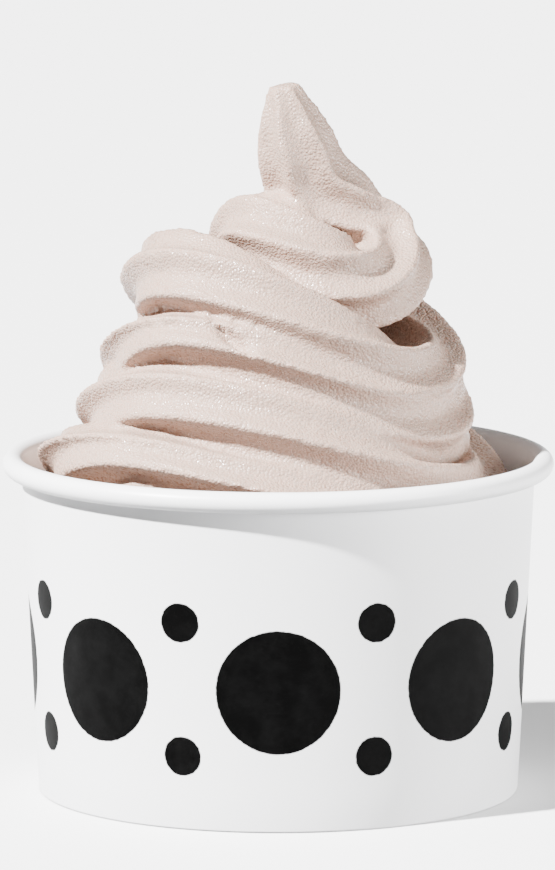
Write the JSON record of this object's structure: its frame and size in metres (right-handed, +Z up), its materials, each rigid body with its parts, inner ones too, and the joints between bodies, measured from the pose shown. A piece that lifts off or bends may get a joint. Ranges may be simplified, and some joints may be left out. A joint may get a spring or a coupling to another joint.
{
  "type": "soft serve cup",
  "caption": "Tall piped swirl of frozen yoghurt with a curled peak, filling a round white paper cup with a rolled rim.",
  "frame": {"origin": "centre of the cup's foot, on the surface it stands on", "axes": "+Z up through the cup's axis to the peak, -Y towards the side the picture shows, +X to its right"},
  "size_m": [0.112, 0.112, 0.1444],
  "materials": {
    "cup_board": "smooth coated white paperboard",
    "frozen_yoghurt": "matte, finely grained, faintly glistening frozen yoghurt"
  },
  "bodies": {
    "root": {"cup_wall": "cup_board", "cup_base": "cup_board", "soft_serve": "frozen_yoghurt"}
  },
  "joints": []
}
